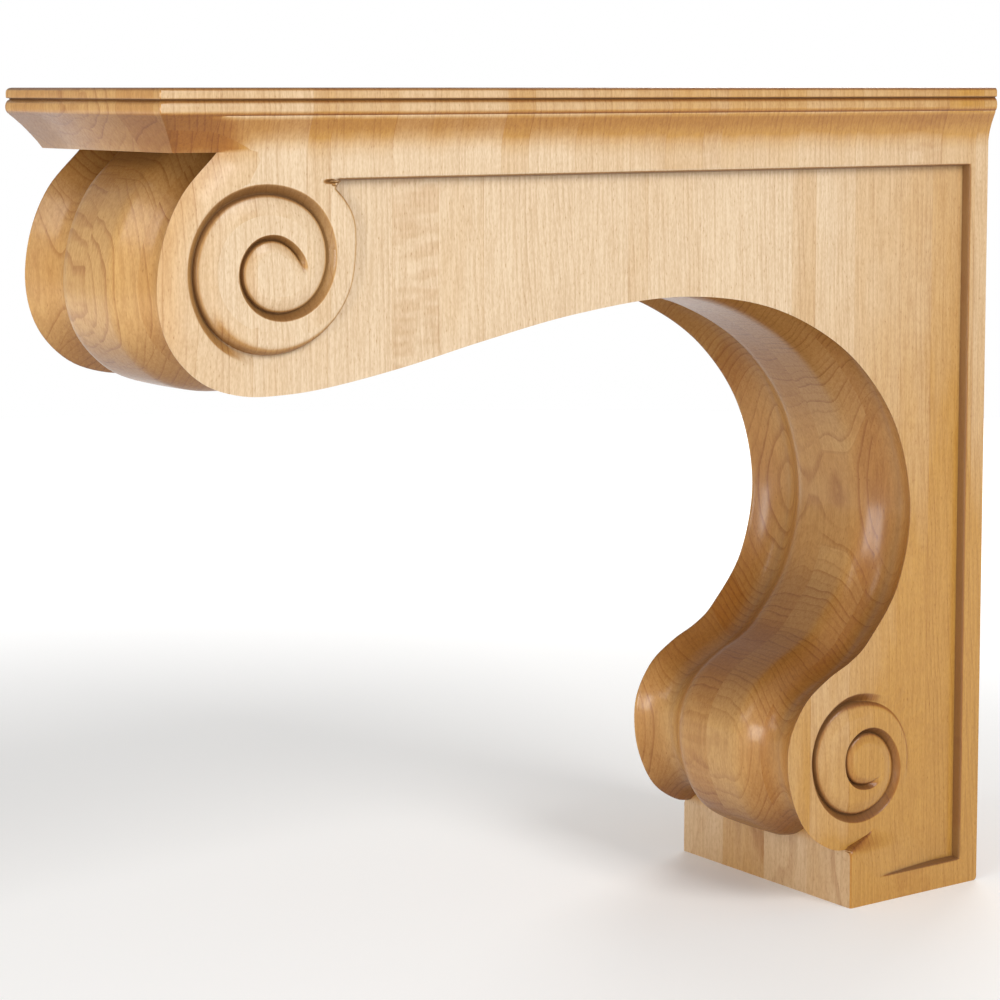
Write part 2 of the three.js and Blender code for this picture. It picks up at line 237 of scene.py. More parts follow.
# %% Volutes, as degrees from +Y and distance from the eye in millimetres
UPPER_EYE = np.array([69.5 - PROJECTION, TOP - 88.7])
LOWER_EYE = np.array([-94.2, BOTTOM + 84.5])
UPPER_VOLUTE = [
    (48.8, 52.7), (28.6, 53.2), (12.6, 50.3), (0.9, 48.5), (-17.6, 47.6), (-43.5, 46.2), (-70, 46),
    (-91, 46.1), (-121, 46.8), (-150, 47.2), (-174, 46.2), (-202, 44), (-224, 41.3), (-250, 37.4),
    (-278, 34.8), (-311, 33.8), (-339, 32.2), (-372, 30.2), (-403, 28.2), (-439, 25.3), (-483, 22.6),
    (-528, 19.3), (-567, 16.1), (-611, 13), (-645, 11.8), (-670, 11.7), (-698, 12.9), (-737, 16.5),
]
LOWER_VOLUTE = [
    (-8, 41.2), (22, 41), (50, 40.2), (80, 38.6), (110, 38.5), (135, 37.6), (160, 35.4), (185, 32.7),
    (215, 31), (250, 30.2), (285, 30.7), (312, 31.6), (335, 31.2), (360, 28.8), (385, 25.6),
    (410, 22.6), (435, 19.2), (460, 15.6), (485, 12.8), (510, 10.3), (535, 8.8), (560, 8.5), (590, 9.2),
    (620, 10.9), (645, 12.9), (668, 15.9), (691, 18.6),
]


def turning_radius(volute):
    """Evenly turned degrees and the radius there, smoothed through the knots."""
    line = smooth_line(volute, 16)
    order = np.argsort(line[:, 0])
    degrees = np.arange(min(line[:, 0]), max(line[:, 0]), 1.0)
    return degrees, np.interp(degrees, line[order, 0], line[order, 1])


UPPER_TURNS = turning_radius(UPPER_VOLUTE)
LOWER_TURNS = turning_radius(LOWER_VOLUTE)
print("upper volute turns", round((UPPER_VOLUTE[0][0] - UPPER_VOLUTE[-1][0]) / 360, 2), "times")


# %% Small shaping functions
STEP_WALL = [(0, 0), (0.3, 0.62), (0.6, 0.88), (1.0, 0.97), (1.6, 1.0)]
GROOVE_CUT = [
    (-11.5, 0), (-10, 0.01), (-8.5, 0.05), (-6.5, 0.14), (-4.0, 0.25), (-2.4, 0.33), (-1.2, 0.41),
    (-0.6, 0.52), (-0.25, 0.76), (0, 1.0), (0.5, 0.97), (2.4, 0.6), (4.7, 0.1), (5.2, 0.03), (5.7, 0),
]


def profile(points, at):
    """Reads a drawn profile at any place along it."""
    return np.interp(at, *zip(*points))


def ease(t):
    """Runs from 0 to 1 with soft ends."""
    t = np.clip(t, 0, 1)
    return t * t * (3 - 2 * t)


def fade(at, start, end):
    """Runs softly from 0 at the start to 1 at the end."""
    return ease((at - start) / (end - start))


def polar(eye, y, z):
    """Direction in degrees and distance from an eye."""
    dy, dz = y - eye[0], z - eye[1]
    return np.degrees(np.arctan2(dz, dy)), np.hypot(dy, dz)


NARROWEST = 0.5
NARROW_RADIUS = 10
FULL_RADIUS = 40


def narrowing(radius):
    """Grooves get narrower towards the eye, down to half of their width."""
    share = (radius - NARROW_RADIUS) / (FULL_RADIUS - NARROW_RADIUS)
    return NARROWEST + (1 - NARROWEST) * np.clip(share, 0, 1)


# %% The volutes' grooves
GROOVE_DEPTH = 5.4
SHALLOWEST = 0.6
# Dark glazing and painted shade across a groove, darkest at its bottom line.
GROOVE_GLAZE_AND_SHADE = [
    (-5, 0), (-1.5, 0.15), (-0.5, 0.9), (0, 1.0), (0.8, 1.0), (1.4, 0.6), (4.7, 0.38), (5.7, 0),
]


def groove(eye, turns, y, z, strength):
    """Depth of a volute's groove at each place, and how much dark glazing and painted shade lies there."""
    direction, reach = polar(eye, y, z)
    degrees, radius = turns
    depth = np.zeros_like(reach)
    glaze_and_shade = np.zeros_like(reach)
    for turn in range(-3, 4):
        at = direction + 360 * turn
        inside = (at > degrees[0]) & (at < degrees[-1])
        centre = np.interp(at, degrees, radius)
        narrow = narrowing(centre)
        offset = (reach - centre) / narrow
        power = np.where(inside, strength(at), 0)
        full = GROOVE_DEPTH * (SHALLOWEST + (1 - SHALLOWEST) * narrow)
        cut = full * power * profile(GROOVE_CUT, offset)
        depth = np.maximum(depth, cut)
        glaze_and_shade = np.maximum(glaze_and_shade, power * profile(GROOVE_GLAZE_AND_SHADE, offset))
    return depth, glaze_and_shade


def upper_strength(degrees):
    """The upper groove fades in below the scroll and out beside the eye."""
    return fade(degrees, -88, -150) * fade(degrees, -745, -700)


def lower_strength(degrees):
    """The lower groove fades in above the scroll and out beside the eye."""
    return fade(degrees, 52, 102) * fade(degrees, 697, 652)


# %% Raised and sunk parts of the side
DISC_ROLL = 20.0
ROLL_PAST_EYE = 26
FOOT_EASE = 37.0
FOOT_SOFTENING = 0.24
COIL_FADE_TOP = -199.0
COIL_FADE = 15.0
FOOT_SLOPE_START = np.array([-84.2, RAIL_TOP])
COIL_STEEPNESS = 0.85
COIL_SEAM = UPPER_VOLUTE[0][0]
COIL_CRISP = 3.2
COIL_SOFTER = 4.3
BAND_LEVEL = 200
BAND_GONE = 268
HOOK_TURN = 4.5
SCROLL_REACH = 100
COIL_ROUND = [(0, 0), (0.05, 0.3), (0.15, 0.56), (0.35, 0.8), (0.6, 0.94), (1.0, 1.0)]
FOOT_COIL = np.array([
    (FOOT_FRONT - 6, -211.4), (FOOT_FRONT, -210.7), (-103, -208.6), (-94.7, -206.1), (-86.4, -203.4),
    (-78, -198.2), (-70.5, -190.5), (-63, -178),
])
under_eye = np.argmax((arris[:, 0] > UPPER_EYE[0]) & (arris[:, 1] < UPPER_EYE[1]))
rolled_line = np.vstack([[(NOTCH_Y, TOP + 40)], arris[:int(under_eye) + ROLL_PAST_EYE]])
print("band rolls down to", len(rolled_line), "places of the rim")


# %% The foot's side and the upper scroll's side
def distance_to_line(line, y, z):
    """Distance from each place to an open line."""
    place = np.column_stack([y, z])
    best = np.full(len(place), 1e9)
    for a, b in zip(line, line[1:]):
        run = b - a
        share = np.clip(((place - a) @ run) / (run @ run), 0, 1)
        best = np.minimum(best, np.linalg.norm(place - a - share[:, None] * run, axis=1))
    return best


def foot_share(y, z):
    """The foot's side: level with the rail in front, easing to the panel, below the coil."""
    down = ((y - FOOT_SLOPE_START[0]) + (z - FOOT_SLOPE_START[1])) / math.sqrt(2)
    slope = 1 - np.clip(down / FOOT_EASE, 0, 1)
    slope = (1 - FOOT_SOFTENING) * slope + FOOT_SOFTENING * ease(slope)
    slope = slope * fade(z, COIL_FADE_TOP, COIL_FADE_TOP - COIL_FADE)
    coil_z = np.interp(y, FOOT_COIL[:, 0], FOOT_COIL[:, 1])
    below = profile(STEP_WALL, COIL_STEEPNESS * (coil_z - z))
    return slope * np.where(y < FOOT_COIL[-1, 0], below, 1) * (z < FOOT_COIL[-1, 1])


def scroll_share(y, z):
    """The upper scroll's side: a band that rolls down to the rim, and the raised coil."""
    direction, reach = polar(UPPER_EYE, y, z)
    turned = np.where(direction <= COIL_SEAM, direction, direction - 360)
    edge = np.interp(turned, *UPPER_TURNS)
    rounding = COIL_CRISP + COIL_SOFTER * fade(turned, -35, -95)
    coil = profile(COIL_ROUND, (edge - reach) / rounding)
    clockwise = np.where(direction < 0, direction + 360, direction)
    fall = 1 - fade(clockwise, BAND_LEVEL, BAND_GONE)
    hook = fade(clockwise, COIL_SEAM - HOOK_TURN, COIL_SEAM)
    near = (reach < SCROLL_REACH) & (z < FRIEZE_FOOT + 2)
    band = np.where(near, fall * hook, 0)
    return band, np.where(near, coil, 0), edge - reach


# %% Glaze that gathers along the cut lines, and painted shade there
WALL_GLAZE_AND_SHADE = [(-1.7, 0), (-0.6, 0.3), (0, 0.95), (0.8, 0.85), (1.2, 0.2), (1.9, 0)]
COIL_GLAZE_AND_SHADE = [(-1.6, 0), (-0.2, 0.5), (0.7, 0.35), (2.6, 0)]
FRIEZE_FADE = 1.5
RAIL_FADE = (-86, -68)
HOOK_Y = UPPER_EYE[0] + UPPER_VOLUTE[0][1] * math.cos(math.radians(COIL_SEAM)) - 1.0
print("the coil meets the frieze line at Y", round(HOOK_Y, 1))


def frame_glaze_and_shade(y, z):
    """Dark glazing and painted shade along the frame's inner edge: frieze, stile and rail."""
    before_stile = y < STILE_EDGE + 1
    from_hook = fade(y, HOOK_Y, HOOK_Y + FRIEZE_FADE)
    frieze = profile(WALL_GLAZE_AND_SHADE, z - FRIEZE_FOOT) * from_hook * before_stile
    stile = profile(WALL_GLAZE_AND_SHADE, y - STILE_EDGE) * ((z > RAIL_TOP - 1) & (z < FRIEZE_FOOT + 1))
    rail = profile(WALL_GLAZE_AND_SHADE, RAIL_TOP - z) * fade(y, *RAIL_FADE) * before_stile
    return np.maximum.reduce([frieze, stile, rail])


# %% [markdown]
# The whole side then is one function of the place. It gives the height, and the share of dark colour:
# partly glazing, which a finisher wipes on and off again and which stays in the corners, and partly
# painted shade in the grooves and along the steps. This share is kept with each vertex as an
# attribute, so that the finish can read it later. A faint dished recess with chisel marks lies beside
# the lower coil, and a nick ends the frieze line at the upper one.

# %% The recess beside the lower coil
DISH_DEPTH = 1.5
DISH_REACH = 22.0
DISH_LIP = 2.4
CHISEL_MARK = 0.12
CHISEL_TURNS = 40


def recess(y, z):
    """Depth of the dished recess beside the lower coil, with its chisel marks."""
    direction, reach = polar(LOWER_EYE, y, z)
    out = reach - np.interp(direction, *LOWER_TURNS)
    faint = fade(direction, -28, -3) * fade(direction, 125, 85)
    dish = np.where(out > 0, np.clip(1 - out / DISH_REACH, 0, 1) ** 2, ease(1 + out / DISH_LIP))
    marks = np.sin(np.radians(direction) * CHISEL_TURNS) * ease(out / 3) * fade(out, 20, 14)
    return faint * (DISH_DEPTH * dish + CHISEL_MARK * marks)


# %% The side as one height map
CORNER_DROP = 0.8
CORNER_WIDTH = 0.9
COIL_REACH = 60
NICK_LENGTH = 8.5
NICK_DEPTH = 2.2
NICK_BELOW = 0.4
NICK_HALF = 1.3


def side_level(y, z):
    """How far the side stands from the corbel's middle, and how much glazing and painted shade lies there.
    """
    y, z = np.asarray(y, float), np.asarray(z, float)
    frieze = profile(STEP_WALL, z - FRIEZE_FOOT)
    stile = profile(STEP_WALL, y - STILE_EDGE)
    rail = profile(STEP_WALL, RAIL_TOP - z)
    band, coil, inwards = scroll_share(y, z)
    roll = np.sin(0.5 * math.pi * np.clip(distance_to_line(rolled_line, y, z) / DISC_ROLL, 0, 1))
    raised = np.maximum(np.maximum(frieze, band) * roll, coil)
    raised = np.maximum.reduce([raised, stile, rail, foot_share(y, z)])
    cut, glaze_and_shade = groove(UPPER_EYE, UPPER_TURNS, y, z, upper_strength)
    cut_low, glaze_and_shade_low = groove(LOWER_EYE, LOWER_TURNS, y, z, lower_strength)
    to_corner = np.clip(1 - (y - FOOT_FRONT) / CORNER_WIDTH, 0, 1)
    corner = CORNER_DROP * to_corner**2 * (z < FOOT_COIL[1, 1])
    level = BODY_HALF + RELIEF * raised - np.maximum(cut, cut_low) - recess(y, z) - corner
    # A thin dark line of glazing and painted shade along the upper coil's edge.
    beside_coil = (band < 0.5) & (polar(UPPER_EYE, y, z)[1] < COIL_REACH)
    coil_edge_glaze_and_shade = beside_coil * profile(COIL_GLAZE_AND_SHADE, inwards)
    # The nick is cut in and also filled with dark glazing and painted shade.
    nick = fade(y, HOOK_Y - NICK_LENGTH, HOOK_Y) * (y < HOOK_Y + 2)
    nick = nick * np.clip(1 - np.abs(z - FRIEZE_FOOT + NICK_BELOW) / NICK_HALF, 0, 1)
    glaze_and_shade = np.maximum.reduce([glaze_and_shade, glaze_and_shade_low, frame_glaze_and_shade(y, z), coil_edge_glaze_and_shade, nick])
    return level - NICK_DEPTH * nick, glaze_and_shade


# %% [markdown]
# ## Where the side needs its vertices
# A flat panel needs none, a cut line needs several rows close together. No bmesh operator lays
# vertices in rows along curves, and an even grid fine enough for the grooves would have millions
# of faces. So rows of points are laid along every line that is cut, plus a loose scatter where the
# surface only rolls, and Blender's constrained Delaunay triangulation joins them inside the
# outline. The points are then lifted to the height map.

# %% Rows of places beside a volute's line
ROW_OFFSETS = (
    -12.6, -11.5, -10, -8.5, -6.5, -4.0, -2.4, -1.2, -0.6, -0.25, 0.0, 0.5, 1.3, 2.4, 3.6, 4.7, 5.2,
    5.7, 6.6,
)
ALONG_STEP = 1.6
TURN_GAP = 0.5


def volute_rows(eye, turns):
    """Rows beside a volute, evenly spaced along it, each kept where no other turn is closer."""
    degrees, radius = turns
    arc = np.concatenate([[0], np.cumsum(np.radians(np.diff(degrees)) * radius[1:])])
    at = np.interp(np.arange(0, arc[-1], ALONG_STEP), arc, degrees)
    centre = np.interp(at, degrees, radius)
    angle = np.radians(at)
    rows = []
    for offset in ROW_OFFSETS:
        reach = centre + offset * narrowing(centre)
        own = np.ones(len(at), bool)
        for turn in (-1, 1):
            other = np.interp(at + 360 * turn, degrees, radius, left=1e3, right=1e3)
            own &= np.abs(reach - other) > np.abs(reach - centre) + TURN_GAP
        row = np.column_stack([eye[0] + reach * np.cos(angle), eye[1] + reach * np.sin(angle)])
        rows.append((row, own))
    return rows


# %% Which places lie inside a line, and which keep clear of others
def inside_outline(line, points, margin):
    """Which points lie inside a closed line and further than a margin from it."""
    y, z = points[:, 0], points[:, 1]
    count = np.zeros(len(points), int)
    closed = np.vstack([line, line[:1]])
    for (ay, az), (by, bz) in zip(closed, closed[1:]):
        crosses = (az > z) != (bz > z)
        if az != bz:
            count += crosses & (y < (by - ay) * (z - az) / (bz - az) + ay)
    return (count % 2 == 1) & (distance_to_line(closed, y, z) > margin)


def clear_of(points, others, gap):
    """Which points are further than a gap from every one of the others."""
    tree = KDTree(len(others))
    for index, other in enumerate(others):
        tree.insert((*other, 0), index)
    tree.balance()
    return np.array([tree.find((*point, 0))[2] > gap for point in points])


ROW_SHARE = 0.87


def scatter(low, high, step):
    """A loose field of points in a box, every other row shifted."""
    points = []
    for row, z in enumerate(np.arange(low[1], high[1], step * ROW_SHARE)):
        shift = 0.5 * step * (row % 2)
        points += [(y + shift, z) for y in np.arange(low[0], high[0], step)]
    return np.array(points)


# %% [markdown]
# ## The crown
# The crown is a fillet, a quirk, a bead and a cove, run along both sides and across the front and
# mitred at the corners. A moulding plane cuts such a profile along a board. Here it is a grid too:
# its rows are the profile and its columns walk from the wall to the corner and on to the middle
# of the front. The side cove is shallower than the front one, and deepens near the corner.

# %% Crown profile as inset and drop, for the front and for the side
FRONT_COVE = [(14.5, 1.8), (15.6, 2.9), (19.8, 6.4), (24.5, 9.8), (28.6, 12.5), (32.0, 14.4)]
SIDE_COVE = [
    (14.5, 1.3), (16.6, 2.2), (19.1, 3.3), (21.5, 4.3), (24.1, 5.2), (26.5, 5.9), (29.0, 6.4), (32.0, 6.9),
]
EDGE = [(2.7, 0.0), (1.6, 0.25), (0.9, 0.8), (0.45, 1.6), (0.3, 2.7), (0.3, 5.0), (0.5, 5.5), (1.5, 5.7)]
BEAD_INSET = 1.8
BEAD_TOP = 6.4
BEAD_RADIUS = 3.8
crown_rows = [(inset, inset, drop) for inset, drop in EDGE]
crown_rows.append((BEAD_INSET, BEAD_INSET, 6.1))
for degrees in range(-75, 76, 15):
    angle = math.radians(degrees)
    inset = BEAD_INSET * (1 - math.cos(angle))
    crown_rows.append((inset, inset, BEAD_TOP + BEAD_RADIUS * (1 + math.sin(angle))))
for drop in np.linspace(14.6, 32.0, 11):
    front = float(np.interp(drop, *zip(*FRONT_COVE)))
    side = float(np.interp(drop, *zip(*SIDE_COVE)))
    crown_rows.append((front, side, float(drop)))
print("crown profile has", len(crown_rows), "rows")

# %% Columns of the crown, from the wall to the corner
SCROLL_START = -430
SCROLL_MIDDLE = -500
MITRE_CUT = 0.5
front_foot, side_foot, _ = crown_rows[-1]
corner_foot = front_foot - PROJECTION
side_walk = np.concatenate([
    np.linspace(0, SCROLL_START, 10)[:-1],
    np.linspace(SCROLL_START, SCROLL_MIDDLE, 8)[:-1],
    np.linspace(SCROLL_MIDDLE, arris[0, 0], 9)[:-1],
    [arris[0, 0]],
    np.linspace(arris[0, 0], corner_foot + MITRE_CUT, 5)[1:],
])
walk_share = side_walk / corner_foot


def crown_deepening(y):
    """How much of the front cove's depth the side cove has at a place along the side."""
    level = side_level(np.maximum(y, arris[0, 0]), np.full_like(y, CROWN_FOOT))[0]
    behind = (FRAME_HALF - level) / (front_foot - side_foot)
    ahead = (arris[0, 0] - y) / (arris[0, 0] - corner_foot)
    at_notch = RELIEF / (front_foot - side_foot)
    return np.where(y < arris[0, 0], at_notch + (1 - at_notch) * np.clip(ahead, 0, 1), behind)


deepening = crown_deepening(side_walk)
print("side cove deepens to", round(float(deepening.max()), 2), "of the front one at the corner")


def crown_place(row, column):
    """A place on the crown: along the side, then round the corner to the middle of the front."""
    front, side, drop = crown_rows[row]
    z = TOP - drop
    front_y = front - PROJECTION
    if column < len(side_walk):
        y = walk_share[column] * front_y if column < len(side_walk) - 1 else front_y + MITRE_CUT
        if row == len(crown_rows) - 1:
            y = side_walk[column]
        inset = side + (front - side) * deepening[column]
        return (CROWN_HALF - inset, y, z)
    if column == len(side_walk):
        return (CROWN_HALF - front - MITRE_CUT, front_y, z)
    return (0, front_y, z)


# %% [markdown]
# ## One half, then its mirror
# The two sides are alike, so only the half at +X is made: the face, the crown, the side, and the
# plain surfaces that close it. Then one operator mirrors it, and the seam down the middle is merged.

# %% Build the half in a bmesh
half = bmesh.new()
grid_sheet(
    half, FACE_STEPS + 1, len(FACE_COLUMNS),
    lambda row, column: (FACE_COLUMNS[column], *face_lines[column][row]),
)
crown_columns = len(side_walk) + 2
grid_sheet(half, len(crown_rows), crown_columns, crown_place)
print("face and crown", len(half.faces), "faces")

# %% Outline of the side, in order
BACK_CORNER = 2.5
corner_arc = [
    (-BACK_CORNER + BACK_CORNER * math.sin(a), BOTTOM + BACK_CORNER - BACK_CORNER * math.cos(a))
    for a in np.radians([0, 22, 45, 67, 90])
]
foot_z = arris[-1, 1]
front_edge = [(FOOT_FRONT, z) for z in (foot_z - 0.5, foot_z - 1.2, foot_z - 3, foot_z - 12, -236)]
top_edge = [(y, CROWN_FOOT) for y in side_walk if y > arris[0, 0]]
outline = np.vstack([
    arris,
    front_edge,
    [(FOOT_FRONT, BOTTOM)],
    [(y, BOTTOM) for y in (-104.6, -80, -50, -20)],
    corner_arc,
    [(0, z) for z in np.linspace(-225, 198, 12)],
    top_edge,
])
print("outline of the side", len(outline), "places")

# %% Rows along the panel's frame, the foot's coil and the foot's corner
WALL_OFFSETS = (-2.6, -1.2, -0.6, 0.0, 0.3, 0.6, 1.0, 1.6, 2.6)
FRAME_STEP = 3.0


def frame_row(offset):
    """One line along the frieze, down the stile and back along the rail."""
    corners = [
        (HOOK_Y - 4, FRIEZE_FOOT + offset), (STILE_EDGE + offset, FRIEZE_FOOT + offset),
        (STILE_EDGE + offset, RAIL_TOP - offset), (FOOT_SLOPE_START[0], RAIL_TOP - offset),
    ]
    parts = []
    for a, b in zip(np.array(corners), np.array(corners[1:])):
        count = max(1, round(float(np.linalg.norm(b - a)) / FRAME_STEP))
        parts.append(a + (b - a) * np.linspace(0, 1, count, endpoint=False)[:, None])
    return np.vstack([*parts, corners[-1:]])


cut_lines = [(frame_row(offset), None) for offset in WALL_OFFSETS]
coil_line = spaced(FOOT_COIL[1:], 34)
cut_lines += [(coil_line - (0, offset / COIL_STEEPNESS), None) for offset in WALL_OFFSETS]
corner_z = np.linspace(-244, -212.5, 14)
for back in (0.35, 0.9, 1.8):
    cut_lines.append((np.column_stack([np.full_like(corner_z, FOOT_FRONT + back), corner_z]), None))
nick_y = np.arange(HOOK_Y - NICK_LENGTH - 0.6, HOOK_Y - 1.0, 0.7)
for offset in (-1.8, -0.9, -0.4, 0.1, 1.0):
    cut_lines.append((np.column_stack([nick_y, np.full_like(nick_y, FRIEZE_FOOT + offset)]), None))
cut_lines += volute_rows(UPPER_EYE, UPPER_TURNS) + volute_rows(LOWER_EYE, LOWER_TURNS)
print("cut lines", len(cut_lines))

# %% Join the places of each row
RIM_GAP = 0.4
ROW_GAP = 0.12
placed = outline
joined = []
for line, own in cut_lines:
    use = inside_outline(outline, line, RIM_GAP)
    if own is not None:
        use &= own
    use &= clear_of(line, placed, ROW_GAP)
    number = len(placed) + np.cumsum(use) - 1
    pairs = zip(number.tolist(), number[1:].tolist(), use & np.append(use[1:], False))
    joined += [(first, second) for first, second, both in pairs if both]
    placed = np.vstack([placed, line[use]])
print("rows hold", len(placed), "places joined by", len(joined), "edges")

# %% Fill in loose places at the hook, on the recess, the upper scroll and the foot
LOOSE_RIM_GAP = 1.0
LOOSE_GAP = 0.8
BATCH = 400
LOOSE_FIELDS = [
    ((HOOK_Y - 4, 188), (HOOK_Y + 9, 201), 0.9),
    ((-66, -190), (-38, -105), 1.5),
    ((-575, 80), (-425, 215), 2.6),
    ((-104, -243), (-20, -176), 2.6),
]
loose = np.vstack([scatter(low, high, step) for low, high, step in LOOSE_FIELDS])
loose = loose[inside_outline(outline, loose, LOOSE_RIM_GAP)]
for start in range(0, len(loose), BATCH):
    batch = loose[start:start + BATCH]
    placed = np.vstack([placed, batch[clear_of(batch, placed, LOOSE_GAP)]])
print("places on the side", len(placed))

# %% Triangulate the side and lift it to the height map
INSIDE_ONLY = 1
SAME_PLACE = 1e-5
flat = [Vector(p) for p in placed]
ring = list(range(len(outline)))
verts_2d, _, faces_2d, source, _, _ = delaunay_2d_cdt(flat, joined, [ring], INSIDE_ONLY, SAME_PLACE)
place = np.array([tuple(v) for v in verts_2d])
level, side_glaze_and_shade = side_level(place[:, 0], place[:, 1])
foot_inset = side_foot + (front_foot - side_foot) * deepening
for index, origin in enumerate(source):
    if origin and min(origin) < len(arris):
        level[index] = BODY_HALF
    elif abs(place[index, 1] - CROWN_FOOT) < 1e-3:
        nearest = int(np.argmin(np.abs(side_walk - place[index, 0])))
        level[index] = CROWN_HALF - foot_inset[nearest]
# The share of glazing and painted shade is kept on each vertex.
glaze_and_shade_layer = half.verts.layers.float.new("glaze_and_shade")
side_verts = [half.verts.new((x, y, z)) for x, (y, z) in zip(level, place)]
for vert, share in zip(side_verts, side_glaze_and_shade):
    vert[glaze_and_shade_layer] = share
for triangle in faces_2d:
    half.faces.new([side_verts[i] for i in triangle])
print("side", len(faces_2d), "triangles")

# %% Glaze and painted shade in the crown's quirk and in the valleys of the face
QUIRK_DROP = (5.2, 6.3)
VALLEY_GLAZE_AND_SHADE = 0.22
VALLEY_HALF = 7
half.verts.ensure_lookup_table()
face_count = (FACE_STEPS + 1) * len(FACE_COLUMNS)
# Painted shade with some glazing: the face's valleys are darkened a little, the quirk fully.
for vert in half.verts[:face_count]:
    to_valley = max(0.0, 1 - abs(vert.co.x - VALLEY_X) / VALLEY_HALF)
    vert[glaze_and_shade_layer] = VALLEY_GLAZE_AND_SHADE * to_valley**2
for vert in half.verts[face_count:face_count + len(crown_rows) * crown_columns]:
    in_quirk = QUIRK_DROP[0] < TOP - vert.co.z < QUIRK_DROP[1]
    vert[glaze_and_shade_layer] = 1.0 if in_quirk else 0.0
print("glaze laid on", sum(vert[glaze_and_shade_layer] > 0 for vert in half.verts), "vertices")

# %% Merge the shared edges and close the plain surfaces
MERGE = 0.02
bmesh.ops.remove_doubles(half, verts=half.verts, dist=MERGE)
half.verts.ensure_lookup_table()


def vert_near(x, y, z):
    """The vertex closest to a place."""
    return min(half.verts, key=lambda v: (v.co - Vector((x, y, z))).length_squared)


def bring_to_middle(edges):
    """Runs open edges straight across to the middle plane."""
    made = bmesh.ops.extrude_edge_only(half, edges=edges)["geom"]
    for vert in [g for g in made if isinstance(g, bmesh.types.BMVert)]:
        vert.co.x = 0


def open_edges(test):
    """Open edges whose two ends both pass a test."""
    return [e for e in half.edges if e.is_boundary and all(test(v.co) for v in e.verts)]


NEAR = 0.01
strip_top = front_edge[3][1]


def on_plain(p):
    """Whether a place is on the rim of the back, the bottom or the foot's front."""
    on_front = abs(p.y - FOOT_FRONT) < NEAR and p.z < strip_top + NEAR
    return p.x > 1 and (p.y > -NEAR or p.z < BOTTOM + BACK_CORNER + NEAR or on_front)


bring_to_middle(open_edges(on_plain))
bmesh.ops.remove_doubles(half, verts=half.verts, dist=MERGE)
print("open edges left", sum(e.is_boundary for e in half.edges))

# %% Close the top, the crown's underside and the foot's front
def close_with(places):
    """One flat face through the vertices at these places."""
    ring_verts = []
    for spot in places:
        vert = vert_near(*spot)
        if not ring_verts or vert is not ring_verts[-1]:
            ring_verts.append(vert)
    if ring_verts[0] is ring_verts[-1]:
        ring_verts.pop()
    half.faces.new(ring_verts)


close_with([(0, 0, TOP)] + [crown_place(0, c) for c in range(crown_columns)])
notch_column = int(np.argmin(np.abs(side_walk - arris[0, 0])))
close_with(
    [crown_place(len(crown_rows) - 1, c) for c in range(notch_column, crown_columns)]
    + [(x, *line[0]) for x, line in zip(FACE_COLUMNS[:-1], face_lines)]
)
front_level = side_level(np.full(4, FOOT_FRONT), [z for _, z in front_edge[:4]])[0]
close_with(
    [(x, *line[-1]) for x, line in zip(FACE_COLUMNS, face_lines)]
    + [(x, FOOT_FRONT, z) for x, (_, z) in zip(front_level, front_edge[:4])]
    + [(0, FOOT_FRONT, strip_top)]
)
still_open = [e for e in half.edges if e.is_boundary and any(v.co.x > NEAR for v in e.verts)]
print("open edges off the middle", len(still_open))

# %% Mirror it, turn the faces outwards and scale it to metres
SHARP_ANGLE = math.radians(38)
whole = half.verts[:] + half.edges[:] + half.faces[:]
bmesh.ops.mirror(half, geom=whole, axis="X", merge_dist=NEAR)
bmesh.ops.remove_doubles(half, verts=half.verts, dist=NEAR)
bmesh.ops.recalc_face_normals(half, faces=half.faces)
bmesh.ops.scale(half, vec=(MM, MM, MM), verts=half.verts)
mesh = bpy.data.meshes.new("carved_corbel")
half.to_mesh(mesh)
half.free()
corbel = bpy.data.objects.new("carved_corbel", mesh)
bpy.context.scene.collection.objects.link(corbel)
for polygon in mesh.polygons:
    polygon.use_smooth = True
mesh.set_sharp_from_angle(angle=SHARP_ANGLE)
mesh.calc_loop_triangles()
print("corbel", len(mesh.loop_triangles), "triangles")
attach(corbel, "root")
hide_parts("corbel")

# %% [markdown]
# ## The maple
# Hard maple is a pale, close wood. What one sees on it is, from large to small: boards of slightly
# different tone glued side by side, growth rings, a ripple on some boards, and fine fibres. A real
# board is a slice of a log, so the pattern is made as a solid one, from the place in the block, and
# not wrapped on: the same rings then run as lines down the flat side and as ovals on the curved
# face. Each of these is a node group with named sockets, so that another piece can use it too.

# %% Helpers that add nodes
def node(tree, kind, inputs=None, **settings):
    """Adds one node, and feeds its inputs with numbers or with other nodes' sockets."""
    made = tree.nodes.new(kind)
    for name, setting in settings.items():
        setattr(made, name, setting)
    for name, value in (inputs or {}).items():
        if isinstance(value, bpy.types.NodeSocket):
            tree.links.new(value, made.inputs[name])
        else:
            made.inputs[name].default_value = value
    return made


def maths(tree, operation, *values):
    """One Math node; gives its result."""
    return node(tree, "ShaderNodeMath", dict(enumerate(values)), operation=operation).outputs[0]


def between(tree, value, low, high, out_low=0.0, out_high=1.0):
    """Maps a range of values softly to another."""
    inputs = {0: value, 1: low, 2: high, 3: out_low, 4: out_high}
    made = node(tree, "ShaderNodeMapRange", inputs, interpolation_type="SMOOTHSTEP")
    return made.outputs[0]


# %% Helpers for colours, groups and grain
MIX_FIRST = 6
MIX_SECOND = 7
MIX_RESULT = 2


def mixed(tree, share, first, second, blend="MIX"):
    """One Mix node for colours; gives its result."""
    inputs = {0: share, MIX_FIRST: first, MIX_SECOND: second}
    made = node(tree, "ShaderNodeMix", inputs, data_type="RGBA", blend_type=blend)
    return made.outputs[MIX_RESULT]


